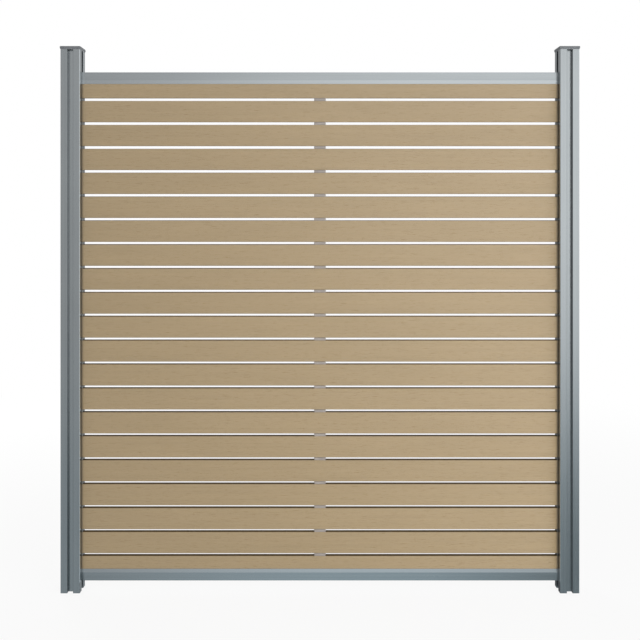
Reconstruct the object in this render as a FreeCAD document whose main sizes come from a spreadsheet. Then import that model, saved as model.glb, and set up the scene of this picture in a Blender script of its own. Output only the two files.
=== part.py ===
import FreeCAD, Part
import os
import re
import Sketcher

# Garden privacy screen: two four-groove aluminium posts carry a panel of sloping-edged
# hollow slats between two channel rails. Millimetres; X across, front towards -Y, +Z up,
# with the origin on the ground, midway between the posts.

DIMENSIONS = [
    ("axis_spacing", 1800, "between the two post axes"),
    ("post_side", 70, "outer side of the square post"),
    ("post_height", 1960, "cut length of the post"),
    ("post_wall", 2, "wall of the post section"),
    ("post_corner", 2, "outer corner radius of the post"),
    ("groove_width", 20.5, "clear width of each post groove"),
    ("groove_depth", 16, "depth of each post groove"),
    ("mouth_bevel", 0.6, "bevel of the groove mouths"),
    ("cap_side", 74, "cap at its rim"),
    ("cap_height", 11.5, "cap above the post end"),
    ("cap_taper", 5, "height of the cap's tapered underside"),
    ("cap_edge", 0.8, "bevel of the cap's top edge"),
    ("lug_length", 20, "cap lugs below the cap"),
    ("lug_wall", 2, "wall of the cap lugs"),
    ("fit_gap", 0.2, "play round lugs, rails and blocks"),
    ("rail_foot", 36, "underside of the bottom rail above the ground"),
    ("rail_height", 42, "height of the rail section"),
    ("rail_depth", 20.1, "depth of the rail section"),
    ("rail_wall", 1.35, "wall of the rail section"),
    ("rail_web", 11, "outer face of the web above the closed edge"),
    ("lip_taper", 13, "height of the tapered end of each lip"),
    ("lip_relief", 0.95, "how far that taper leans in"),
    ("rail_length", 1756, "cut length of both rails"),
    ("top_play", 3.8, "clear height between the last slat and the top rail's web"),
    ("slat_count", 21, "slats in the panel"),
    ("slat_pitch", 87, "from one slat to the next"),
    ("slat_height", 77.5, "height of a slat"),
    ("slat_thickness", 17.2, "thickness of a slat"),
    ("slat_length", 1754, "cut length of a slat"),
    ("edge_slope", 0.1, "rise of a slat's edges from front to back, per unit of depth"),
    ("edge_radius", 2, "rounding of a slat's four long edges"),
    ("keyway_width", 5, "groove along both edges of a slat"),
    ("keyway_depth", 4, "depth of that groove"),
    ("chamber_count", 3, "hollow chambers in a slat"),
    ("chamber_width", 8.8, "front to back in a chamber"),
    ("chamber_height", 17, "height of a chamber"),
    ("chamber_pitch", 20.5, "from one chamber to the next"),
    ("chamber_start", 9.8, "lowest point of the lowest chamber"),
    ("spacer_depth", 16, "front to back of a spacer"),
    ("spacer_corner", 1.5, "bevel of a spacer's upright edges"),
    ("tongue_width", 4.4, "tongue of a spacer"),
    ("tongue_height", 3.4, "tongue above or below its spacer"),
    ("centre_spacer_length", 42, "spacers at mid-length"),
    ("end_spacer_length", 18, "spacers in the post grooves"),
    ("end_spacer_reach", 3, "how far they stand out of the groove"),
    ("block_depth", 10, "support block, from the groove floor"),
    ("block_wall", 2.5, "wall of the support block"),
    ("screw_inset", 7, "rail screw from the post's inner face"),
    ("screw_radius", 2, "shank of a rail screw"),
    ("screw_length", 31, "shank under the head"),
    ("head_radius", 3.9, "head of a rail screw"),
    ("head_height", 1.9, "height of that head"),
    ("hole_play", 0.1, "screw holes over the shank's radius"),
]

# Formulas over the names above that several pieces share.
FIRST_SLAT = ("(rail_foot + rail_web + edge_slope * (slat_thickness / 2 - edge_radius)"
              " - edge_radius * (sqrt(1 + edge_slope ^ 2) - 1))")
SPACER_HEIGHT = "(slat_pitch - slat_height)"
TOP_OF_TOP_RAIL = ("(" + FIRST_SLAT + " + (slat_count - 1) * slat_pitch + slat_height"
                   " + edge_slope * slat_thickness / 2 + top_play + rail_web)")
BOTTOM_SCREW_LEVEL = "(rail_foot + rail_web / 2)"
TOP_SCREW_LEVEL = "(" + TOP_OF_TOP_RAIL + " - rail_web / 2)"
SCREW_REACH = "(axis_spacing / 2 - post_side / 2 + screw_inset)"
CHAMBER_NEAR = "groove_width / 2 + post_wall"
CHAMBER_FAR = "post_side / 2 - post_wall"
CORE_FACE = "(post_side / 2 - groove_depth)"

# How a sketch numbers the ends and centre of a line or arc, and its own axes.
START = 1
END = 2
CENTRE = 3
H_AXIS = -1
V_AXIS = -2
ORIGIN = -1

FULL_TURN = 360
HALF_TURN = 180
FOUR_SIDES = 4
PAIR = "2"
CLOSE = 1e-4  # lengths in mm that differ by less count as the same

doc = FreeCAD.newDocument("GardenPrivacyScreen")
sheet = doc.addObject("Spreadsheet::Sheet", "Dimensions")


def fill_sheet():
    """One row for each driving dimension: name, value, meaning."""
    for row, (name, size, meaning) in enumerate(DIMENSIONS, start=1):
        sheet.set("A%d" % row, name)
        sheet.set("B%d" % row, str(size))
        sheet.setAlias("B%d" % row, name)
        sheet.set("C%d" % row, meaning)
    doc.recompute()


def formula(text):
    """The same formula with every name read from the sheet."""
    return re.sub(r"[a-z]+(?:_[a-z]+)+", lambda word: "Dimensions." + word.group(0), text)


def number(text):
    """What a formula comes to."""
    return float(sheet.evalExpression(formula(text)))


def bind(thing, path, text):
    thing.setExpression(path, formula(text))


def new_body(label):
    body = doc.addObject("PartDesign::Body", label)
    body.Label = label
    return body


def origin_feature(body, role):
    return next(part for part in body.Origin.OriginFeatures if part.Role == role)


def new_sketch(body, name, plane):
    sketch = body.newObject("Sketcher::SketchObject", name)
    sketch.AttachmentSupport = [(origin_feature(body, plane), "")]
    sketch.MapMode = "FlatFace"
    return sketch


def measure(sketch, kind, line, point, text):
    """Holds a point of the sketch at a driven distance from the sketch's origin."""
    if text == "0":
        axis = V_AXIS if kind == "DistanceX" else H_AXIS
        sketch.addConstraint(Sketcher.Constraint("PointOnObject", line, point, axis))
        return
    name = "size%d" % sketch.ConstraintCount
    position = sketch.addConstraint(
        Sketcher.Constraint(kind, ORIGIN, START, line, point, number(text)))
    sketch.renameConstraint(position, name)
    bind(sketch, "Constraints." + name, text)


def closed_lines(sketch, corners):
    """Lines from corner to corner and back to the first; returns their numbers."""
    points = [FreeCAD.Vector(x, y, 0) for x, y in corners]
    lines = [sketch.addGeometry(Part.LineSegment(a, b), False)
             for a, b in zip(points, points[1:] + points[:1])]
    for line, following in zip(lines, lines[1:] + lines[:1]):
        sketch.addConstraint(Sketcher.Constraint("Coincident", line, END, following, START))
    return lines


def outline(sketch, corners):
    """A closed outline of straight lines, each corner given as two formulas.

    Lines that share a formula are held upright or level, so that each size is driven once."""
    lines = closed_lines(sketch, [(number(x), number(y)) for x, y in corners])
    for place, line in enumerate(lines):
        x, y = corners[place]
        last_x, last_y = corners[place - 1]
        if x == last_x:
            sketch.addConstraint(Sketcher.Constraint("Vertical", lines[place - 1]))
        else:
            measure(sketch, "DistanceX", line, START, x)
        if y == last_y:
            sketch.addConstraint(Sketcher.Constraint("Horizontal", lines[place - 1]))
        else:
            measure(sketch, "DistanceY", line, START, y)


def rectangle(sketch, half_width, low, high):
    """A rectangle centred across the sketch, between two levels."""
    left = "-(" + half_width + ")"
    outline(sketch, [(left, low), (half_width, low), (half_width, high), (left, high)])


def corner_angle(sketch, near, far, inner):
    """An L-shaped section in one quarter of a square, its two legs along the outer sides."""
    outline(sketch, [(inner, near), (far, near), (far, far), (near, far), (near, inner),
                     (inner, inner)])


def sloped_block(sketch, depth, height):
    """A block's section whose top and bottom edges rise towards the back."""
    back = "(" + depth + " / 2)"
    front = "-" + back
    rise = "edge_slope * " + back
    outline(sketch, [(front, "-" + rise), (back, rise), (back, height + " + " + rise),
                     (front, height + " - " + rise)])


def pad(body, name, sketch, length, symmetric=False, reverse=False):
    feature = body.newObject("PartDesign::Pad", name)
    feature.Profile = sketch
    feature.SideType = "Symmetric" if symmetric else "One side"
    feature.Reversed = reverse
    bind(feature, "Length", length)
    doc.recompute()
    return feature


def pocket(body, name, sketch, reverse=False, symmetric=False):
    """Cuts the sketch through everything on the chosen side and makes sure that it cut."""
    before = body.Tip.Shape.Volume
    feature = body.newObject("PartDesign::Pocket", name)
    feature.Profile = sketch
    feature.Type = "ThroughAll"
    feature.SideType = "Symmetric" if symmetric else "One side"
    feature.Reversed = reverse
    doc.recompute()
    if not feature.Shape.Volume < before:
        raise RuntimeError(body.Label + ": " + name + " cuts nothing")
    return feature


def blind_pocket(body, name, sketch, depth, reverse=False):
    feature = pocket(body, name, sketch, reverse)
    feature.Type = "Length"
    bind(feature, "Length", depth)
    doc.recompute()
    return feature


def edges_where(feature, test):
    """Names of the edges whose middle point and direction pass the test."""
    names = []
    for place, edge in enumerate(feature.Shape.Edges, start=1):
        middle = edge.valueAt((edge.FirstParameter + edge.LastParameter) / 2)
        along = edge.tangentAt(edge.FirstParameter)
        if test(middle, along):
            names.append("Edge%d" % place)
    return names


def fillet(body, name, test, radius):
    base = body.Tip
    feature = body.newObject("PartDesign::Fillet", name)
    feature.Base = (base, edges_where(base, test))
    bind(feature, "Radius", radius)
    doc.recompute()
    return feature


def chamfer(body, name, test, first, second=None):
    """Cuts the chosen edges off, by one size or by a different one on each side."""
    base = body.Tip
    feature = body.newObject("PartDesign::Chamfer", name)
    feature.Base = (base, edges_where(base, test))
    bind(feature, "Size", first)
    if second:
        feature.ChamferType = "Two distances"
        bind(feature, "Size2", second)
    doc.recompute()
    return feature


def turn_four(body, name, feature):
    """The feature again on all four sides of the post axis."""
    pattern = body.newObject("PartDesign::PolarPattern", name)
    pattern.Originals = [feature]
    pattern.Axis = (origin_feature(body, "Z_Axis"), [""])
    pattern.Angle = FULL_TURN
    pattern.Occurrences = FOUR_SIDES
    body.Tip = pattern
    doc.recompute()
    return pattern


def row_of(body, name, axis, length, count):
    """The whole piece again at equal steps along an axis."""
    pattern = body.newObject("PartDesign::LinearPattern", name)
    pattern.TransformMode = "Whole shape"
    pattern.Direction = (origin_feature(body, axis), [""])
    bind(pattern, "Length", length)
    bind(pattern, "Occurrences", count)
    body.Tip = pattern
    doc.recompute()
    return pattern


def same(a, b):
    return abs(a - b) < CLOSE


def sign(side):
    """What goes before a formula for the left side, -1, or the right one, 1."""
    return "" if side > 0 else "-"


def make_post(label, side):
    """Four-groove extrusion: square core, four corner chambers, holes for the rail screws."""
    body = new_body(label)
    half = "post_side / 2"
    square = new_sketch(body, "square", "XY_Plane")
    rectangle(square, half, "-" + half, half)
    pad(body, "bar", square, "post_height")
    groove = new_sketch(body, "groove_section", "XY_Plane")
    rectangle(groove, "groove_width / 2", CORE_FACE, "post_side")
    turn_four(body, "four_grooves", pocket(body, "groove", groove, reverse=True))
    chamber = new_sketch(body, "chamber_section", "XY_Plane")
    corner_angle(chamber, CHAMBER_NEAR, CHAMBER_FAR, CORE_FACE)
    turn_four(body, "four_chambers", pocket(body, "chamber", chamber, reverse=True))
    bore = "(" + CORE_FACE + " - post_wall)"
    core = new_sketch(body, "core_section", "XY_Plane")
    rectangle(core, bore, "-" + bore, bore)
    pocket(body, "core", core, reverse=True)
    edge = number(half)
    mouth = number("groove_width / 2")
    fillet(body, "corners",
           lambda p, d: same(abs(p.x), edge) and same(abs(p.y), edge) and same(abs(d.z), 1),
           "post_corner")
    chamfer(body, "mouths",
            lambda p, d: same(max(abs(p.x), abs(p.y)), edge)
            and same(min(abs(p.x), abs(p.y)), mouth) and same(abs(d.z), 1),
            "mouth_bevel")
    holes = new_sketch(body, "screw_places", "XZ_Plane")
    inset = sign(-side) + "(post_side / 2 - screw_inset)"
    for level in (BOTTOM_SCREW_LEVEL, TOP_SCREW_LEVEL):
        hole_circle(holes, inset, level)
    pocket(body, "screw_holes", holes)
    bind(body, ".Placement.Base.x", sign(side) + "axis_spacing / 2")
    return body


def hole_circle(sketch, across, up):
    radius = number("screw_radius + hole_play")
    centre = FreeCAD.Vector(number(across), number(up), 0)
    circle = sketch.addGeometry(Part.Circle(centre, FreeCAD.Vector(0, 0, 1), radius), False)
    measure(sketch, "DistanceX", circle, CENTRE, across)
    measure(sketch, "DistanceY", circle, CENTRE, up)
    name = "hole%d" % circle
    position = sketch.addConstraint(Sketcher.Constraint("Radius", circle, radius))
    sketch.renameConstraint(position, name)
    bind(sketch, "Constraints." + name, "screw_radius + hole_play")


def make_cap(label, side):
    """Square cap, wider at its rim than at the post, with four corner lugs below."""
    body = new_body(label)
    half = "cap_side / 2"
    square = new_sketch(body, "square", "XY_Plane")
    rectangle(square, half, "-" + half, half)
    pad(body, "plate", square, "cap_height")
    edge = number(half)
    overhang = "(cap_side - post_side) / 2"
    chamfer(body, "underside", lambda p, d: same(p.z, 0) and same(abs(d.z), 0),
            "cap_taper", overhang)
    fillet(body, "corners",
           lambda p, d: same(abs(p.x), edge) and same(abs(p.y), edge) and same(abs(d.z), 1),
           "post_corner")
    top = number("cap_height")
    chamfer(body, "top_edge", lambda p, d: same(p.z, top) and same(abs(d.z), 0), "cap_edge")
    lug = new_sketch(body, "lug_section", "XY_Plane")
    near = CHAMBER_NEAR + " + fit_gap"
    far = CHAMBER_FAR + " - fit_gap"
    inner = far + " - lug_wall"
    corner_angle(lug, near, far, inner)
    turn_four(body, "four_lugs", pad(body, "lug", lug, "lug_length", reverse=True))
    bind(body, ".Placement.Base.x", sign(side) + "axis_spacing / 2")
    bind(body, ".Placement.Base.z", "post_height")
    return body


def make_rail(label):
    """Channel with a closed box along one edge and two lips that thin towards the slat."""
    body = new_body(label)
    section = new_sketch(body, "section", "YZ_Plane")
    outer = "rail_depth / 2"
    tip = "(rail_depth / 2 - lip_relief)"
    inner = "(rail_depth / 2 - rail_wall)"
    base = "-rail_height / 2"
    rim = "rail_height / 2"
    bend = "(rail_height / 2 - lip_taper)"
    seat = "(rail_web - rail_height / 2)"
    outline(section, [("-" + outer, base), (outer, base), (outer, bend), (tip, rim),
                      (inner, rim), (inner, seat), ("-" + inner, seat), ("-" + inner, rim),
                      ("-" + tip, rim), ("-" + outer, bend)])
    rectangle(section, inner, base + " + rail_wall", seat + " - rail_wall")
    pad(body, "bar", section, "rail_length", symmetric=True)
    holes = new_sketch(body, "screw_places", "XZ_Plane")
    for side in (-1, 1):
        hole_circle(holes, sign(side) + SCREW_REACH, "(rail_web - rail_height) / 2")
    pocket(body, "screw_holes", holes)
    return body


def make_slat(index):
    """Hollow board: edges rise to the back, a groove along both for the spacers' tongues."""
    body = new_body("slat_%02d" % index)
    section = new_sketch(body, "section", "YZ_Plane")
    sloped_block(section, "slat_thickness", "slat_height")
    pad(body, "board", section, "slat_length", symmetric=True)
    half = number("slat_thickness / 2")
    fillet(body, "long_edges", lambda p, d: same(abs(p.y), half) and same(abs(d.x), 1),
           "edge_radius")
    keyways = new_sketch(body, "keyway_section", "YZ_Plane")
    side = "keyway_width / 2"
    rectangle(keyways, side, "slat_height - keyway_depth", "slat_height + keyway_depth")
    rectangle(keyways, side, "-keyway_depth", "keyway_depth")
    pocket(body, "keyways", keyways, symmetric=True)
    chamber = new_sketch(body, "chamber_section", "YZ_Plane")
    rectangle(chamber, "chamber_width / 2", "chamber_start", "chamber_start + chamber_height")
    hollow = pocket(body, "chamber", chamber, symmetric=True)
    pattern = body.newObject("PartDesign::LinearPattern", "chambers")
    pattern.Originals = [hollow]
    pattern.Direction = (origin_feature(body, "Z_Axis"), [""])
    bind(pattern, "Length", "(chamber_count - 1) * chamber_pitch")
    bind(pattern, "Occurrences", "chamber_count")
    body.Tip = pattern
    bind(body, ".Placement.Base.z", FIRST_SLAT + " + %d * slat_pitch" % (index - 1))
    return body


def spacer_block(body, length, upper_tongue):
    """Block with the slats' slope above and below, and a tongue for the slat's groove."""
    section = new_sketch(body, "section", "YZ_Plane")
    sloped_block(section, "spacer_depth", SPACER_HEIGHT)
    pad(body, "block", section, length, symmetric=True)
    half = number("spacer_depth / 2")
    end = number(length + " / 2")
    chamfer(body, "upright_edges", lambda p, d: same(abs(p.y), half) and same(abs(p.x), end)
            and same(abs(d.z), 1), "spacer_corner")
    tongue = new_sketch(body, "tongue_section", "YZ_Plane")
    top = SPACER_HEIGHT + (" + tongue_height" if upper_tongue else " / 2")
    rectangle(tongue, "tongue_width / 2", "-tongue_height", top)
    return pad(body, "tongue", tongue, length + " - 2 * spacer_corner", symmetric=True)


def make_centre_spacer(index):
    body = new_body("centre_spacer_%02d" % index)
    spacer_block(body, "centre_spacer_length", upper_tongue=True)
    bind(body, ".Placement.Base.z",
         FIRST_SLAT + " + slat_height + %d * slat_pitch" % (index - 1))
    return body


def make_end_spacers(label, side):
    """One spacer in every gap, in the post's inner groove and a little out of its mouth."""
    body = new_body(label)
    body.AllowCompound = True
    spacer_block(body, "end_spacer_length", upper_tongue=False)
    row_of(body, "column", "Z_Axis", "(slat_count - 2) * slat_pitch", "slat_count - 1")
    reach = "(axis_spacing / 2 - post_side / 2 - end_spacer_reach + end_spacer_length / 2)"
    bind(body, ".Placement.Base.x", sign(side) + reach)
    bind(body, ".Placement.Base.z", FIRST_SLAT + " + slat_height")
    return body


def make_support_block(label, side):
    """Hollow block in the foot of the inner groove; the end of the bottom rail sits on it."""
    body = new_body(label)
    depth = "(groove_width / 2 - fit_gap)"
    section = new_sketch(body, "section", "XY_Plane")
    rectangle(section, "block_depth / 2", "-" + depth, depth)
    pad(body, "block", section, "rail_foot")
    well = new_sketch(body, "well_section", "XY_Plane")
    inner = "(groove_width / 2 - fit_gap - block_wall)"
    rectangle(well, "block_depth / 2 - block_wall", "-" + inner, inner)
    blind_pocket(body, "well", well, "rail_foot - block_wall", reverse=True)
    place = "(axis_spacing / 2 - " + CORE_FACE + " - block_depth / 2)"
    bind(body, ".Placement.Base.x", sign(side) + place)
    return body


def make_rail_screws(label):
    """Four pan-head screws driven from behind, one through each post and rail end."""
    body = new_body(label)
    body.AllowCompound = True
    profile = new_sketch(body, "profile", "YZ_Plane")
    outline(profile, [("-screw_length", "0"), ("head_height", "0"), ("head_height", "head_radius"),
                      ("0", "head_radius"), ("0", "screw_radius"), ("-screw_length", "screw_radius")])
    turned = body.newObject("PartDesign::Revolution", "turned")
    turned.Profile = profile
    turned.ReferenceAxis = (profile, ["H_Axis"])
    turned.Angle = FULL_TURN
    doc.recompute()
    row_of(body, "across", "X_Axis", "2 * " + SCREW_REACH, PAIR)
    row_of(body, "up", "Z_Axis", TOP_SCREW_LEVEL + " - " + BOTTOM_SCREW_LEVEL, PAIR)
    bind(body, ".Placement.Base.x", "-" + SCREW_REACH)
    bind(body, ".Placement.Base.y", "post_side / 2")
    bind(body, ".Placement.Base.z", BOTTOM_SCREW_LEVEL)
    return body


def build():
    """All the sub-parts, from the ground up."""
    fill_sheet()
    slats = int(number("slat_count"))
    parts = []
    for name, side in (("left", -1), ("right", 1)):
        parts.append(make_post("post_" + name, side))
        parts.append(make_cap("post_cap_" + name, side))
        parts.append(make_support_block("support_block_" + name, side))
        parts.append(make_end_spacers("end_spacers_" + name, side))
    bottom_rail = make_rail("bottom_rail")
    bind(bottom_rail, ".Placement.Base.z", "rail_foot + rail_height / 2")
    top_rail = make_rail("top_rail")
    top_rail.Placement.Rotation = FreeCAD.Rotation(FreeCAD.Vector(0, 1, 0), HALF_TURN)
    bind(top_rail, ".Placement.Base.z", TOP_OF_TOP_RAIL + " - rail_height / 2")
    parts += [bottom_rail, top_rail, make_rail_screws("rail_screws")]
    parts += [make_slat(index) for index in range(1, slats + 1)]
    parts += [make_centre_spacer(index) for index in range(1, slats)]
    doc.recompute()
    return parts


def check(parts):
    """Stops before any file is written if an object failed or a shape is unsound."""
    for thing in doc.Objects:
        if "Invalid" in thing.State or "Error" in thing.State:
            raise RuntimeError(thing.Label + " failed to build")
    for body in parts:
        if body.Shape.isNull() or not body.Shape.isValid():
            raise RuntimeError(body.Label + " has an unsound shape")


def export(parts):
    os.makedirs("parts", exist_ok=True)
    for body in parts:
        body.Shape.exportStep("parts/" + body.Label + ".step")


all_parts = build()
check(all_parts)
export(all_parts)
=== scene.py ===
import math
import random

import bmesh
import bpy
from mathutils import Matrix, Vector


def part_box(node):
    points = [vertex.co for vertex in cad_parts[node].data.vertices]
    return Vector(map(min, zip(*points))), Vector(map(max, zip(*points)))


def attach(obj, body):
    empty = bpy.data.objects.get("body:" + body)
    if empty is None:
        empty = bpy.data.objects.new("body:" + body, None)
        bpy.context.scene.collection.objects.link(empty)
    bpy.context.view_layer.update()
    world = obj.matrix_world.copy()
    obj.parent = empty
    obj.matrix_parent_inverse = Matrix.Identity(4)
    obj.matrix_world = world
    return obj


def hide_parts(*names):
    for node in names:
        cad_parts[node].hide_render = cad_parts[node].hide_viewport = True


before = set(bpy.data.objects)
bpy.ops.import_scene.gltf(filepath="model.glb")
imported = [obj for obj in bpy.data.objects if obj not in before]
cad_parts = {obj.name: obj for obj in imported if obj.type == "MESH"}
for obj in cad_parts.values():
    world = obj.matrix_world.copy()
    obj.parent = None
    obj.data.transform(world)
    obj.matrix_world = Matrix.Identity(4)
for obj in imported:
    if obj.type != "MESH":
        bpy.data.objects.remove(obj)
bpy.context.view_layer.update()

# Garden privacy screen: looks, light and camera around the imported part. Metres, +Z up,
# front towards -Y, origin on the ground midway between the posts.

MM = 0.001
BODY = "root"
SHARP_ANGLE = math.radians(32)


# ---------------------------------------------------------------- sizes

RIGHT_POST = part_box("post_right")
POST_AXIS = (RIGHT_POST[0].x + RIGHT_POST[1].x) / 2
POST_HALF = (RIGHT_POST[1].x - RIGHT_POST[0].x) / 2

BOTTOM_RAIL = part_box("bottom_rail")
TOP_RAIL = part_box("top_rail")
LIP_TAPER = 13 * MM
BOTTOM_LIP = (BOTTOM_RAIL[1].z - LIP_TAPER, BOTTOM_RAIL[1].z)
TOP_LIP = (TOP_RAIL[0].z, TOP_RAIL[0].z + LIP_TAPER)

SLAT_COUNT = 21
SLAT_THICKNESS = 17.2 * MM
SLAT_HEIGHT = 77.5 * MM
SLAT_PITCH = 87.0 * MM
EDGE_SLOPE = 0.1
EDGE_RADIUS = 2.0 * MM
# From a slat's lowest point, its rounded front corner, up to the middle of its bottom edge.
EDGE_RISE = (EDGE_SLOPE * (SLAT_THICKNESS / 2 - EDGE_RADIUS)
             - EDGE_RADIUS * (math.hypot(1, EDGE_SLOPE) - 1))
FIRST_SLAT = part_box("slat_01")[0].z + EDGE_RISE


# ---------------------------------------------------------------- node helpers

# Where a Mix node keeps its factor and its two numbers or colours.
MIX_FACTOR = 0
MIX_NUMBERS = (2, 3)
MIX_COLOURS = (6, 7)
NUMBER_RESULT = 0
COLOUR_RESULT = 2


class Graph:
    """A short way to write a node tree: every call adds a node and returns an output.

    Colours are written as red, green and blue."""

    def __init__(self, tree):
        self.tree = tree
        tree.nodes.clear()

    def node(self, kind, inputs=None, **settings):
        made = self.tree.nodes.new(kind)
        for name, value in settings.items():
            setattr(made, name, value)
        for name, value in (inputs or {}).items():
            self.feed(made.inputs[name], value)
        return made

    def feed(self, socket, value):
        if isinstance(value, bpy.types.NodeSocket):
            self.tree.links.new(value, socket)
        elif socket.type == "RGBA":
            socket.default_value = (*value, 1.0)
        else:
            socket.default_value = value

    def math(self, operation, *values):
        return self.node("ShaderNodeMath", dict(enumerate(values)), operation=operation).outputs[0]

    def chain(self, operation, values):
        result = values[0]
        for value in values[1:]:
            result = self.math(operation, result, value)
        return result

    def plus(self, *terms):
        return self.chain("ADD", terms)

    def times(self, *factors):
        return self.chain("MULTIPLY", factors)

    def parts(self, vector):
        return self.node("ShaderNodeSeparateXYZ", {0: vector}).outputs

    def place(self):
        """Object coordinates in metres. Every piece sits at the origin, so they are the frame's."""
        return self.node("ShaderNodeTexCoord").outputs["Object"]

    def noise(self, scale, detail=3.0, roughness=0.55):
        """Noise with so many waves per metre along x, y and z."""
        stretched = self.node("ShaderNodeMapping", {"Vector": self.place(), "Scale": scale})
        return self.node("ShaderNodeTexNoise",
                         {"Vector": stretched.outputs[0], "Scale": 1.0, "Detail": detail,
                          "Roughness": roughness}).outputs["Fac"]

    def spread(self, value, low, high, to_low=0.0, to_high=1.0, curve="LINEAR"):
        """Takes low to to_low and high to to_high, and holds those values outside."""
        made = self.node("ShaderNodeMapRange",
                         {"Value": value, "From Min": low, "From Max": high,
                          "To Min": to_low, "To Max": to_high}, interpolation_type=curve)
        return made.outputs["Result"]

    def ease(self, value, low, high, to_low=0.0, to_high=1.0):
        """The same along a smooth step."""
        return self.spread(value, low, high, to_low, to_high, curve="SMOOTHSTEP")

    def mixed(self, data_type, places, result, factor, a, b):
        inputs = {MIX_FACTOR: factor, places[0]: a, places[1]: b}
        made = self.node("ShaderNodeMix", data_type=data_type)
        for place, value in inputs.items():
            self.feed(made.inputs[place], value)
        return made.outputs[result]

    def blend(self, factor, a, b):
        """From number a to number b."""
        return self.mixed("FLOAT", MIX_NUMBERS, NUMBER_RESULT, factor, a, b)

    def mix(self, factor, a, b):
        """From colour a to colour b."""
        return self.mixed("RGBA", MIX_COLOURS, COLOUR_RESULT, factor, a, b)

    def ramp(self, value, stops):
        made = self.node("ShaderNodeValToRGB", {"Fac": value})
        elements = made.color_ramp.elements
        while len(elements) < len(stops):
            elements.new(0.5)
        for element, (position, colour) in zip(elements, stops):
            element.position = position
            element.color = (*colour, 1.0)
        return made.outputs["Color"]

    def bump(self, height, strength, distance, normal=None):
        inputs = {"Height": height, "Strength": strength, "Distance": distance}
        if normal is not None:
            inputs["Normal"] = normal
        return self.node("ShaderNodeBump", inputs).outputs["Normal"]

    def surface(self, **inputs):
        shader = self.node("ShaderNodeBsdfPrincipled",
                           {name.replace("_", " "): value for name, value in inputs.items()})
        self.node("ShaderNodeOutputMaterial", {"Surface": shader.outputs[0]})


def material(name, slot):
    made = bpy.data.materials.new(name)
    made.use_nodes = True
    made["slot"] = slot
    return made, Graph(made.node_tree)


# ---------------------------------------------------------------- aluminium

METAL_TONES = [(0.3, (0.50, 0.538, 0.556)), (0.52, (0.55, 0.59, 0.608)), (0.75, (0.60, 0.635, 0.65))]
METAL_ROUGHNESS = (0.19, 0.27)
# Painted shade: a dark tone laid on the groove flanks and on the posts' sides next to the panel.
FLANK_SHADE_TONE = (0.085, 0.095, 0.102)
FLANK_PAINTED_SHADE = 0.92
# Painted highlight: a light tone laid on the rails' slanting lips.
LIP_HIGHLIGHT_TONE = (0.74, 0.79, 0.82)
LIP_PAINTED_HIGHLIGHT = 0.35
# Die lines and broader bands of an extrusion: waves per metre along it and across it.
DIE_LINES = (5.0, 1400.0)
BANDS = (0.8, 90.0)

# Half of a groove's mouth with its bevel, and how far below the outer faces its painted shade
# starts and is full.
GROOVE_MOUTH_HALF = 11.2 * MM
GROOVE_START = (0.02 * MM, 0.2 * MM)
# How much a face has to look across its groove to count as a flank.
FLANK_FACING = (0.2, 0.65)
SIDE_GROOVES = 0.3
# The painted shade on a post's side next to the panel: from its corners to its groove, at its foot
# below the bottom rail, and up to the top rail.
INNER_SIDE = POST_AXIS - POST_HALF + 1 * MM
TOWARDS_GROOVE = (34 * MM, 14 * MM, 0.15, 0.8)
FOOT_FADE = (BOTTOM_RAIL[0].z + 14 * MM, BOTTOM_RAIL[0].z)
TOP_FADE = (TOP_RAIL[1].z + 3.2 * MM, TOP_RAIL[1].z - 1.8 * MM)


def post_painted_shade(g):
    """Mask of painted shade: from 0 on the posts' outer faces to 1 on the flanks inside their
    grooves.

    The side next to the panel gets painted shade too, towards the slats."""
    x, y, z = g.parts(g.place())
    nx, ny, _ = g.parts(g.node("ShaderNodeNewGeometry").outputs["Normal"])
    u = g.math("ABSOLUTE", g.math("SUBTRACT", g.math("ABSOLUTE", x), POST_AXIS))
    v = g.math("ABSOLUTE", y)
    front_or_back = g.math("GREATER_THAN", v, u)
    facing = g.blend(front_or_back, g.math("ABSOLUTE", ny), g.math("ABSOLUTE", nx))
    depth = g.math("SUBTRACT", POST_HALF, g.math("MAXIMUM", u, v))
    near_groove = g.math("LESS_THAN", g.math("MINIMUM", u, v), GROOVE_MOUTH_HALF)
    flank = g.times(g.spread(facing, *FLANK_FACING), near_groove, g.spread(depth, *GROOVE_START),
                    g.blend(front_or_back, SIDE_GROOVES, 1.0))
    inner = g.math("LESS_THAN", g.math("ABSOLUTE", x), INNER_SIDE)
    beside = g.math("MAXIMUM", g.times(inner, g.spread(v, *TOWARDS_GROOVE)),
                    g.times(inner, g.spread(z, *FOOT_FADE)))
    return g.math("MAXIMUM", flank, g.times(beside, g.spread(z, *TOP_FADE)))


def rail_lip(g):
    """1 on the slanting lips next to the slats, where a painted highlight goes, 0 on the rest of a
    rail.
    """
    z = g.parts(g.place())["Z"]
    return g.plus(*[g.times(g.math("GREATER_THAN", z, low), g.math("LESS_THAN", z, high))
                    for low, high in (BOTTOM_LIP, TOP_LIP)])


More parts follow.
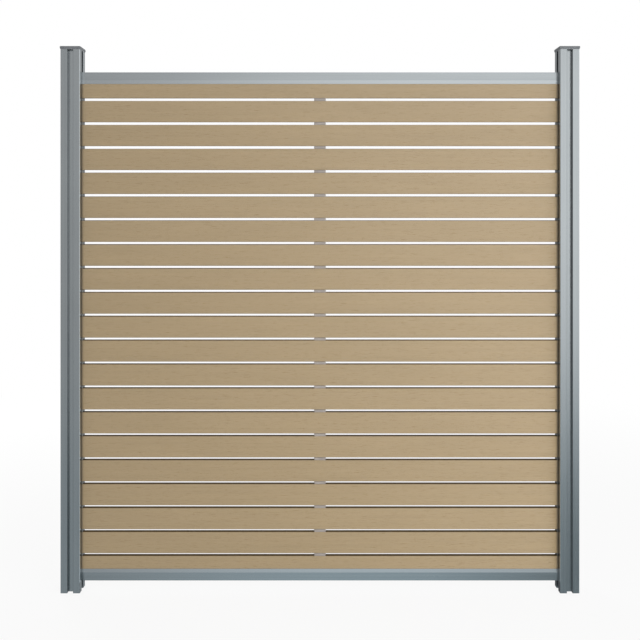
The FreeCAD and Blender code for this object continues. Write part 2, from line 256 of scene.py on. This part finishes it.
def aluminium(name, slot, along, grooved):
    """Satin anodised extrusion: fine die lines along one axis, faint clouding, small specks."""
    made, g = material(name, slot)
    lines = g.noise([DIE_LINES[axis != along] for axis in "XYZ"], detail=2.0)
    bands = g.noise([BANDS[axis != along] for axis in "XYZ"], detail=2.0)
    cloud = g.noise([4.0, 4.0, 4.0], detail=4.0)
    speck = g.noise([900.0, 900.0, 900.0], detail=1.0)
    tone = g.plus(g.times(lines, 0.35), g.times(bands, 0.4), g.times(cloud, 0.25))
    colour = g.ramp(tone, METAL_TONES)
    if grooved:
        # Painted shade in the posts' grooves and beside the panel.
        colour = g.mix(g.times(post_painted_shade(g), FLANK_PAINTED_SHADE), colour, FLANK_SHADE_TONE)
    else:
        # Painted highlight on the rails' slanting lips.
        colour = g.mix(g.times(rail_lip(g), LIP_PAINTED_HIGHLIGHT), colour, LIP_HIGHLIGHT_TONE)
    roughness = g.spread(g.plus(tone, g.times(speck, 0.2)), 0.3, 0.9, *METAL_ROUGHNESS)
    normal = g.bump(speck, 0.12, 0.03 * MM)
    normal = g.bump(lines, 0.18, 0.04 * MM, normal)
    normal = g.bump(bands, 0.25, 0.12 * MM, normal)
    g.surface(Base_Color=colour, Metallic=1.0, Roughness=roughness, Normal=normal)
    return made


# ---------------------------------------------------------------- wood composite

SLAT_TONES = [(0.30, (0.293, 0.199, 0.086)), (0.42, (0.315, 0.216, 0.094)),
              (0.52, (0.333, 0.229, 0.102)), (0.64, (0.356, 0.247, 0.113))]
TONE_PER_SLAT = 0.012
FLECK_TONE = (0.56, 0.45, 0.31)
# Painted shade on the slats' top and bottom edges, which lie in the gaps between slats.
EDGE_SHADE_TONE = (0.050, 0.028, 0.010)
EDGE_PAINTED_SHADE = 0.7
CREVICE_SHADE_TONE = (0.030, 0.018, 0.008)
# Painted shade in narrow places fades in where so much of the air within its reach is blocked.
CREVICE_SHADE_REACH = 9 * MM
CREVICE_SHADE_RANGE = (0.92, 0.4, 0.0, 0.95)
CREVICE_ROUGHNESS = 0.9
FACE_ROUGHNESS = (0.26, 0.34)
EDGE_ROUGHNESS = (0.7, 0.85)


def composite(name, slot, edge):
    """Brushed wood composite: long streaks, short fibres, pale flecks, a tone per slat.

    The edges between two slats are dull and get painted shade; narrow places get painted shade too."""
    made, g = material(name, slot)
    streak = g.noise([3.0, 60.0, 210.0], detail=5.0, roughness=0.6)
    fibre = g.noise([28.0, 500.0, 1300.0], detail=4.0, roughness=0.65)
    cloud = g.noise([1.4, 8.0, 8.0], detail=3.0)
    fleck = g.noise([140.0, 700.0, 900.0], detail=2.0)
    height = g.math("SUBTRACT", g.parts(g.place())["Z"], FIRST_SLAT)
    row = g.math("FLOOR", g.math("DIVIDE", height, SLAT_PITCH))
    per_slat = g.node("ShaderNodeTexWhiteNoise", {"W": row}, noise_dimensions="1D").outputs["Value"]
    tone = g.plus(g.times(streak, 0.5), g.times(fibre, 0.32), g.times(cloud, 0.18),
                  g.spread(per_slat, 0.0, 1.0, -TONE_PER_SLAT, TONE_PER_SLAT))
    colour = g.ramp(tone, SLAT_TONES)
    colour = g.mix(g.spread(fleck, 0.66, 0.76, 0.0, 0.35), colour, FLECK_TONE)
    if edge:
        # Painted shade on the edges between slats.
        colour = g.mix(EDGE_PAINTED_SHADE, colour, EDGE_SHADE_TONE)
    # Painted shade where nearby parts block the air: corners, gaps, and beside the posts and rails.
    open_air = g.node("ShaderNodeAmbientOcclusion", {"Distance": CREVICE_SHADE_REACH}, samples=6)
    crevice_shade = g.spread(open_air.outputs["AO"], *CREVICE_SHADE_RANGE)
    colour = g.mix(crevice_shade, colour, CREVICE_SHADE_TONE)
    normal = g.bump(fibre, 1.0, 0.8 * MM)
    normal = g.bump(streak, 0.25, 0.4 * MM, normal)
    if edge:
        g.surface(Base_Color=colour, Roughness=g.spread(fibre, 0.3, 0.7, *EDGE_ROUGHNESS),
                  Normal=normal, IOR=1.4, Specular_IOR_Level=0.2)
    else:
        brushed = g.spread(fibre, 0.3, 0.7, *FACE_ROUGHNESS)
        g.surface(Base_Color=colour, Roughness=g.blend(crevice_shade, brushed, CREVICE_ROUGHNESS),
                  Normal=normal, IOR=1.8, Specular_IOR_Level=1.0)
    return made


# ---------------------------------------------------------------- plastic and steel

FINE_GRAIN = 1500.0
COARSE_GRAIN = 1200.0
PLASTIC_VARIATION = 0.06
STEEL_TONES = [(0.35, (0.50, 0.49, 0.47)), (0.7, (0.66, 0.65, 0.63))]
STEEL_ROUGHNESS = (0.24, 0.4)


def plastic(name, slot, dark, light, grain, roughness=0.5, ior=1.5, specular=0.5):
    """Moulded plastic: a spark-eroded grain, faint flow marks, slight tone changes."""
    made, g = material(name, slot)
    flow = g.noise([35.0, 35.0, 90.0], detail=4.0)
    eroded = g.noise([grain, grain, grain], detail=2.0)
    tone = g.plus(g.times(flow, 0.6), g.times(eroded, 0.4))
    rough = g.spread(tone, 0.3, 0.7, roughness - PLASTIC_VARIATION, roughness + PLASTIC_VARIATION)
    g.surface(Base_Color=g.ramp(tone, [(0.3, dark), (0.72, light)]), Roughness=rough,
              Normal=g.bump(eroded, 0.3, 0.08 * MM), IOR=ior, Specular_IOR_Level=specular)
    return made


def steel(name, slot):
    """Stainless screw steel with turning marks."""
    made, g = material(name, slot)
    turning = g.noise([2600.0, 300.0, 2600.0], detail=3.0)
    smear = g.noise([240.0, 240.0, 240.0], detail=3.0)
    g.surface(Base_Color=g.ramp(smear, STEEL_TONES), Metallic=1.0,
              Roughness=g.spread(smear, 0.3, 0.7, *STEEL_ROUGHNESS),
              Normal=g.bump(turning, 0.2, 0.03 * MM))
    return made


# ---------------------------------------------------------------- mesh helpers

def finish_mesh(name, bm, made):
    """Turns a bmesh into an object that rides on the frame, smooth but for its sharp edges."""
    bmesh.ops.recalc_face_normals(bm, faces=bm.faces)
    for face in bm.faces:
        face.smooth = True
    for edge in bm.edges:
        edge.smooth = not (len(edge.link_faces) == 2 and edge.calc_face_angle() > SHARP_ANGLE)
    mesh = bpy.data.meshes.new(name)
    bm.to_mesh(mesh)
    bm.free()
    piece = bpy.data.objects.new(name, mesh)
    bpy.context.scene.collection.objects.link(piece)
    mesh.materials.append(made)
    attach(piece, BODY)
    return piece


def skin(bm, rings):
    """Quads between rings of equal length; the first and last ring get a lid."""
    loops = [[bm.verts.new(point) for point in ring] for ring in rings]
    for a, b in zip(loops, loops[1:]):
        for i in range(len(a)):
            j = (i + 1) % len(a)
            bm.faces.new((a[i], a[j], b[j], b[i]))
    bm.faces.new(loops[0])
    bm.faces.new(reversed(loops[-1]))


def arc(centre, radius, start, end, steps):
    """Points along an arc between two angles in degrees."""
    turns = [math.radians(start + (end - start) * i / steps) for i in range(steps + 1)]
    return [(centre[0] + radius * math.cos(turn), centre[1] + radius * math.sin(turn))
            for turn in turns]


def dress(node, made):
    """A CAD node keeps its shape and takes this material."""
    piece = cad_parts[node]
    piece.data.materials.clear()
    piece.data.materials.append(made)


# ---------------------------------------------------------------- slats

KEYWAY_HALF = 2.5 * MM
KEYWAY_DEPTH = 4.0 * MM
CORNER_STEPS = 6
SLAT_LENGTHS = 20
# A face that looks up or down by more than this belongs to a slat's edges, not to its sides.
EDGE_NORMAL = 0.6
FIRST_SEED = 4100

FLUTE_PITCH = 2.3 * MM
FLUTE_DEPTH = 0.14 * MM
# Shares of that pitch and depth between which each flute's width and depth are drawn.
WIDTHS = (0.75, 1.25)
DEPTHS = (0.35, 1.0)
# A flute's two bottom points: share of its width, share of its depth.
FLUTE_BOTTOM = ((0.35, 1.0), (0.6, 0.8))
# No flute starts within so many pitches of the upper corner.
FLUTE_MARGIN = 1.6
# How much of its depth a flute keeps: along the board, and at each point.
WEAR = (0.7, 1.0)
RIPPLE = (0.85, 1.0)


def fluted_side(rng, y, low, high, inward):
    """Points up one side of a slat: fine flutes of uneven width; True marks a flute's bottom."""
    points = [((y, low), False)]
    z = low
    while z < high - FLUTE_MARGIN * FLUTE_PITCH:
        width = FLUTE_PITCH * rng.uniform(*WIDTHS)
        depth = FLUTE_DEPTH * rng.uniform(*DEPTHS)
        for across, down in FLUTE_BOTTOM:
            points.append(((y + inward * depth * down, z + across * width), True))
        z += width
        points.append(((y, z), False))
    points.append(((y, high), False))
    return points


def edge_level(y):
    """Height of a slat's sloping edge over its level at mid-depth."""
    return EDGE_SLOPE * y


def plain(points):
    return [(point, False) for point in points]


def slat_section(rng):
    """(y, z) round a slat, from the front bottom corner upwards; flute bottoms are marked."""
    half = SLAT_THICKNESS / 2
    front = EDGE_RADIUS - half
    back = half - EDGE_RADIUS
    lean = math.degrees(math.atan(EDGE_SLOPE))
    stretch = EDGE_RADIUS * math.hypot(1, EDGE_SLOPE)
    bottom_front = (front, edge_level(front) + stretch)
    top_front = (front, SLAT_HEIGHT + edge_level(front) - stretch)
    top_back = (back, SLAT_HEIGHT + edge_level(back) - stretch)
    bottom_back = (back, edge_level(back) + stretch)

    def corner(centre, start, end):
        return arc(centre, EDGE_RADIUS, start, end, CORNER_STEPS)

    def keyway(side, level, floor):
        return [(side, level + edge_level(side)), (side, floor), (-side, floor),
                (-side, level + edge_level(-side))]

    points = fluted_side(rng, -half, bottom_front[1], top_front[1], 1)
    points += plain(corner(top_front, 180, 90 + lean)[1:])
    points += plain(keyway(-KEYWAY_HALF, SLAT_HEIGHT, SLAT_HEIGHT - KEYWAY_DEPTH))
    points += plain(corner(top_back, 90 + lean, 0))
    points += fluted_side(rng, half, bottom_back[1], top_back[1], -1)[::-1][1:]
    points += plain(corner(bottom_back, 0, -90 + lean)[1:])
    points += plain(keyway(KEYWAY_HALF, 0.0, KEYWAY_DEPTH))
    points += plain(corner(bottom_front, 270 + lean, 180)[:-1])
    return points


def make_slat(index, face_look, edge_look):
    """One board with flutes that run along it and fade in and out a little."""
    node = "slat_%02d" % index
    low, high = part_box(node)
    base = low.z + EDGE_RISE
    rng = random.Random(FIRST_SEED + index)
    section = slat_section(rng)
    half = SLAT_THICKNESS / 2
    rings = []
    for i in range(SLAT_LENGTHS + 1):
        x = low.x + (high.x - low.x) * i / SLAT_LENGTHS
        wear = rng.uniform(*WEAR)
        ring = []
        for (y, z), flute in section:
            if flute:
                depth = (half - abs(y)) * wear * rng.uniform(*RIPPLE)
                y = math.copysign(half - depth, y)
            ring.append((x, y, base + z))
        rings.append(ring)
    bm = bmesh.new()
    skin(bm, rings)
    bmesh.ops.recalc_face_normals(bm, faces=bm.faces)
    for face in bm.faces:
        face.material_index = int(abs(face.normal.z) > EDGE_NORMAL)
    piece = finish_mesh("board_%02d" % index, bm, face_look)
    piece.data.materials.append(edge_look)
    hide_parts(node)


# ---------------------------------------------------------------- rail screws

SCREW_X = POST_AXIS - POST_HALF + 7 * MM
SCREW_SIDES = 48
HEAD_RADIUS = 3.9 * MM
HEAD_HEIGHT = 1.9 * MM
HEAD_ROUND = 1.5 * MM
HEAD_RIM = 0.35 * MM
HEAD_STEPS = 6
LOBES = 6
# The drive's recess, from its floor up: radius, depth under the head's top, depth of the lobes.
DRIVE = [(0.25 * MM, 1.35 * MM, 0.0), (1.1 * MM, 1.3 * MM, 0.16), (1.3 * MM, 0.12 * MM, 0.16),
         (1.42 * MM, 0.0, 0.14), (2.1 * MM, 0.0, 0.0)]
SHANK_RADIUS = 2.0 * MM
SHANK_LENGTH = 31 * MM
THREAD_ROOT = 1.65 * MM
THREAD_START = 1.2 * MM
THREAD_RUN = SHANK_LENGTH - 5 * MM
THREAD_TURNS = 20
THREAD_FLANK = 0.55 * MM
TIP_LENGTH = 3 * MM
TIP_RADII = (1.6 * MM, 0.3 * MM)


def screw_profile():
    """(radius, distance out of the post's back face, lobes), from the drive to the tip."""
    profile = [(radius, HEAD_HEIGHT - depth, lobes) for radius, depth, lobes in DRIVE]
    for round_radius, out in arc((HEAD_RADIUS - HEAD_ROUND, HEAD_RIM), HEAD_ROUND, 90, 0, HEAD_STEPS):
        profile.append((round_radius, out, 0.0))
    profile += [(HEAD_RADIUS, 0.0, 0.0), (SHANK_RADIUS, 0.0, 0.0)]
    for i in range(THREAD_TURNS):
        root = -THREAD_START - THREAD_RUN * i / THREAD_TURNS
        profile += [(THREAD_ROOT, root, 0.0), (SHANK_RADIUS, root - THREAD_FLANK, 0.0)]
    profile += [(TIP_RADII[0], TIP_LENGTH - SHANK_LENGTH, 0.0), (TIP_RADII[1], -SHANK_LENGTH, 0.0)]
    return profile


def screw_ring(x, z, radius, out, lobes):
    ring = []
    for i in range(SCREW_SIDES):
        turn = 2 * math.pi * i / SCREW_SIDES
        reach = radius * (1 + lobes * math.cos(LOBES * turn))
        ring.append((x + reach * math.cos(turn), POST_HALF + out, z + reach * math.sin(turn)))
    return ring


def make_screws(made):
    """Pan heads with a six-lobed drive, on shanks with a ringed thread."""
    low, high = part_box("rail_screws")
    profile = screw_profile()
    bm = bmesh.new()
    for x in (-SCREW_X, SCREW_X):
        for z in (low.z + HEAD_RADIUS, high.z - HEAD_RADIUS):
            skin(bm, [screw_ring(x, z, *step) for step in profile])
    piece = finish_mesh("rail_screws_detailed", bm, made)
    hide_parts("rail_screws")


# ---------------------------------------------------------------- post caps

CAP_HALF = 37 * MM
CAP_HEIGHT = 11.5 * MM
CAP_TAPER = 5 * MM
CAP_CORNER = 2 * MM
CAP_CORNER_STEPS = 8
# The rim's lower edge is softened between these two (inset, height over the taper).
RIM_SOFTENING = ((0.25 * MM, -0.5 * MM), (0.0, 0.3 * MM))
TOP_ROUND = 1.28 * MM
TOP_ROUND_STEPS = 6
CROWN = 0.35 * MM
# The crown rises towards the middle: (share of the half width, share of the crown still to go).
CROWN_RINGS = ((0.6, 0.25), (0.2, 0.0))
LUG_NEAR = 12.45 * MM
LUG_FAR = 32.8 * MM
LUG_WALL = 2 * MM
LUG_LENGTH = 20 * MM


def rounded_square(half, z, centre):
    """A square ring with round corners, anticlockwise, centred at x = centre."""
    ring = []
    reach = half - CAP_CORNER
    for corner, (sx, sy) in enumerate(((1, 1), (-1, 1), (-1, -1), (1, -1))):
        start = 90 * corner
        middle = (centre + sx * reach, sy * reach)
        ring += [(x, y, z) for x, y in arc(middle, CAP_CORNER, start, start + 90, CAP_CORNER_STEPS)]
    return ring


def make_cap(side, made):
    """Moulded cap: tapered underside, softened edges, a faint crown and four corner lugs."""
    node = "post_cap_" + side
    low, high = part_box(node)
    centre = (low.x + high.x) / 2
    under = high.z - CAP_HEIGHT
    rings = [rounded_square(POST_HALF, under, centre)]
    for inset, over in RIM_SOFTENING:
        rings.append(rounded_square(CAP_HALF - inset, under + CAP_TAPER + over, centre))
    shoulder = (CAP_HALF - TOP_ROUND, high.z - CROWN - TOP_ROUND)
    for half, z in arc(shoulder, TOP_ROUND, 0, 90, TOP_ROUND_STEPS)[1:]:
        rings.append(rounded_square(half, z, centre))
    for share, to_go in CROWN_RINGS:
        rings.append(rounded_square(CAP_HALF * share, high.z - CROWN * to_go, centre))
    bm = bmesh.new()
    skin(bm, rings)
    inner = LUG_FAR - LUG_WALL
    outline = [(inner, LUG_NEAR), (LUG_FAR, LUG_NEAR), (LUG_FAR, LUG_FAR), (LUG_NEAR, LUG_FAR),
               (LUG_NEAR, inner), (inner, inner)]
    for sx in (-1, 1):
        for sy in (-1, 1):
            skin(bm, [[(centre + sx * x, sy * y, z) for x, y in outline]
                      for z in (under, under - LUG_LENGTH)])
    piece = finish_mesh("cap_" + side, bm, made)
    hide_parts(node)


# ---------------------------------------------------------------- the object

post_metal = aluminium("post_aluminium", "post_aluminium", "Z", grooved=True)
rail_metal = aluminium("rail_aluminium", "rail_aluminium", "X", grooved=False)
board = composite("slat_composite", "slat_composite", edge=False)
board_edge = composite("slat_edge_composite", "slat_composite", edge=True)
spacer_grey = plastic("spacer_plastic", "spacer_plastic", (0.250, 0.225, 0.205),
                      (0.360, 0.325, 0.300), FINE_GRAIN)
# Painted shade: the end spacers are the same plastic as the centre spacers, in a darker copy for the
# shade between the posts and the slats.
spacer_shaded = plastic("end_spacer_shaded_plastic", "spacer_plastic", (0.05, 0.05, 0.042),
                      (0.09, 0.086, 0.074), FINE_GRAIN, roughness=0.38, ior=1.8, specular=1.0)
cap_grey = plastic("cap_plastic", "cap_plastic", (0.125, 0.135, 0.145), (0.19, 0.20, 0.21),
                   COARSE_GRAIN, roughness=0.48)
block_black = plastic("block_plastic", "block_plastic", (0.03, 0.03, 0.032),
                      (0.06, 0.06, 0.063), COARSE_GRAIN)
screw_steel = steel("screw_steel", "screw_steel")

for side in ("left", "right"):
    dress("post_" + side, post_metal)
    dress("end_spacers_" + side, spacer_shaded)
    dress("support_block_" + side, block_black)
    make_cap(side, cap_grey)
for rail in ("bottom_rail", "top_rail"):
    dress(rail, rail_metal)
for index in range(1, SLAT_COUNT + 1):
    make_slat(index, board, board_edge)
for index in range(1, SLAT_COUNT):
    dress("centre_spacer_%02d" % index, spacer_grey)
make_screws(screw_steel)


# ---------------------------------------------------------------- floor

WHITE = (1.0, 1.0, 1.0)
FLOOR_RADIUS = 30.0
FLOOR_SIDES = 96
FLOOR_GREY = (0.70, 0.70, 0.70)
# How far from the middle the floor starts to turn plain white to the camera and where it is,
# and how much of it is plain white at those places.
SHADOW_FADE = (1.3, 4.2, 0.90, 1.0)


def make_floor():
    """Plain pale floor. It is white to the camera but for the soft shadow that falls on it."""
    bpy.ops.mesh.primitive_circle_add(vertices=FLOOR_SIDES, radius=FLOOR_RADIUS, fill_type="NGON")
    floor = bpy.context.object
    floor.name = "floor"
    floor.visible_glossy = False
    made = bpy.data.materials.new("floor")
    made.use_nodes = True
    g = Graph(made.node_tree)
    matte = g.node("ShaderNodeBsdfDiffuse", {"Color": FLOOR_GREY}).outputs[0]
    white = g.node("ShaderNodeEmission", {"Color": WHITE}).outputs[0]
    camera_ray = g.node("ShaderNodeLightPath").outputs["Is Camera Ray"]
    away = g.node("ShaderNodeVectorMath", {0: g.place()}, operation="LENGTH").outputs["Value"]
    share = g.times(camera_ray, g.ease(away, *SHADOW_FADE))
    both = g.node("ShaderNodeMixShader", {0: share, 1: matte, 2: white}).outputs[0]
    g.node("ShaderNodeOutputMaterial", {"Surface": both})
    floor.data.materials.append(made)


# ---------------------------------------------------------------- surroundings

# Parts of the surroundings, by the direction away from the object. The first two numbers are
# the x, y or z where a part starts and where it is full. Where there are two more, they are
# the strengths at those places.
RIGHT = (-0.36, 0.12)
HIGH = (-0.36, -0.10)
ASIDE = (-0.82, -0.70)
OVERHEAD = (0.25, 0.95, 0.0, 0.15)

LEFT_BY_HEIGHT = (-0.05, 0.2, 0.33, 0.40)
FRONT_TO_BACK = (-0.5, 0.3, 0.98, 0.62)
RISE_TO_HORIZON = (-0.25, 0.1, 0.84, 1.0)
FALL_ABOVE_IT = (0.1, 0.2, 1.0, 0.86)
FAR_RIGHT = (0.38, 0.62, 0.0, 0.35)
FAR_BACK = (0.2, 0.7, 1.0, 0.8)

LOW_LEFT = 0.30
LOW_RIGHT = 0.04
LOW_MIDDLE = 0.46
MIDDLE_START = (-0.3, 0.0)
MIDDLE_END = (0.15, 0.29)
LOW_SIDES = (0.0, 0.35, 0.5, 1.0)
BEHIND = (0.0, 0.5)
LOW_BEHIND = (-0.28, 0.54, 0.15, 0.95)
LOW_BEHIND_LEFT = (-0.3, -0.5, 0.0, 0.4)

COOL_LEFT = (0.86, 0.95, 1.0)
COOL_RIGHT = (0.72, 0.90, 0.98)
COOL_ASIDE = (0.90, 0.96, 1.0)


def upper_strength(g, x, y, z, right):
    """Dim on the left, bright on the right and most so in front."""
    bright = g.times(g.ease(y, *FRONT_TO_BACK), g.spread(z, *RISE_TO_HORIZON),
                     g.spread(z, *FALL_ABOVE_IT))
    level = g.plus(g.blend(right, g.spread(z, *LEFT_BY_HEIGHT), bright), g.ease(x, *FAR_RIGHT))
    return g.times(level, g.spread(y, *FAR_BACK))


def lower_strength(g, x, y, right, aside):
    """Dim in front but for its middle, brighter at the sides, brighter to the right behind."""
    middle = g.times(g.ease(x, *MIDDLE_START), g.ease(x, *MIDDLE_END, 1.0, 0.0))
    front = g.plus(g.blend(right, LOW_LEFT, LOW_RIGHT), g.times(middle, LOW_MIDDLE))
    behind = g.plus(g.spread(x, *LOW_BEHIND), g.spread(x, *LOW_BEHIND_LEFT))
    return g.blend(aside, front, g.blend(g.ease(y, *BEHIND), g.ease(x, *LOW_SIDES), behind))


def make_world():
    """Soft studio surroundings: brighter to the right and overhead, dim and cool below.

    They are plain white where the camera sees them."""
    world = bpy.data.worlds.new("studio")
    bpy.context.scene.world = world
    world.use_nodes = True
    g = Graph(world.node_tree)
    x, y, z = g.parts(g.node("ShaderNodeTexCoord").outputs["Generated"])
    right = g.ease(x, *RIGHT)
    high = g.ease(z, *HIGH)
    aside = g.ease(y, *ASIDE)
    level = g.blend(high, lower_strength(g, x, y, right, aside), upper_strength(g, x, y, z, right))
    level = g.plus(level, g.ease(z, *OVERHEAD))
    cool = g.mix(aside, g.mix(right, COOL_LEFT, COOL_RIGHT), COOL_ASIDE)
    light = g.node("ShaderNodeBackground", {"Color": g.mix(high, cool, WHITE), "Strength": level})
    white = g.node("ShaderNodeBackground", {"Color": WHITE, "Strength": 1.0})
    camera_ray = g.node("ShaderNodeLightPath").outputs["Is Camera Ray"]
    both = g.node("ShaderNodeMixShader", {0: camera_ray, 1: light.outputs[0], 2: white.outputs[0]})
    g.node("ShaderNodeOutputWorld", {"Surface": both.outputs[0]})


# ---------------------------------------------------------------- lamps and camera

# Name, place, what it points at, width, height, watts.
SOFTBOXES = [("key", (1.3, -3.4, 1.0), (0.0, 0.0, 0.9), 1.1, 2.2, 42),
             ("low_fill", (1.5, -2.9, 0.3), (0.3, 0.0, 0.3), 1.4, 0.5, 34),
             ("back_fill", (-2.4, 3.4, 1.5), (0.0, 0.0, 1.0), 1.6, 2.2, 62)]

# The photo is 640 pixels wide. Its focal length and the shift of its middle are in pixels.
PHOTO_WIDTH = 640
FOCAL_LENGTH = 855.2
SHIFT_X = 2.25
SHIFT_Y = -98.7
SENSOR_WIDTH = 36.0
EYE = (-0.008, -3.115, 1.340)


def make_softbox(name, place, target, width, height, power):
    lamp = bpy.data.lights.new(name, "AREA")
    lamp.shape = "RECTANGLE"
    lamp.size = width
    lamp.size_y = height
    lamp.energy = power
    thing = bpy.data.objects.new(name, lamp)
    thing.location = place
    thing.rotation_euler = (Vector(target) - Vector(place)).to_track_quat("-Z", "Y").to_euler()
    thing.visible_camera = False
    thing.visible_glossy = False
    bpy.context.scene.collection.objects.link(thing)


def make_camera():
    """Level camera in front of the screen, a little above its middle."""
    lens = bpy.data.cameras.new("camera")
    lens.sensor_width = SENSOR_WIDTH
    lens.lens = FOCAL_LENGTH / PHOTO_WIDTH * SENSOR_WIDTH
    lens.shift_x = SHIFT_X / PHOTO_WIDTH
    lens.shift_y = SHIFT_Y / PHOTO_WIDTH
    eye = bpy.data.objects.new("camera", lens)
    eye.location = EYE
    eye.rotation_euler = (math.radians(90), 0.0, 0.0)
    bpy.context.scene.collection.objects.link(eye)
    bpy.context.scene.camera = eye


make_floor()
make_world()
for softbox in SOFTBOXES:
    make_softbox(*softbox)
make_camera()
bpy.context.scene.view_settings.view_transform = "Standard"
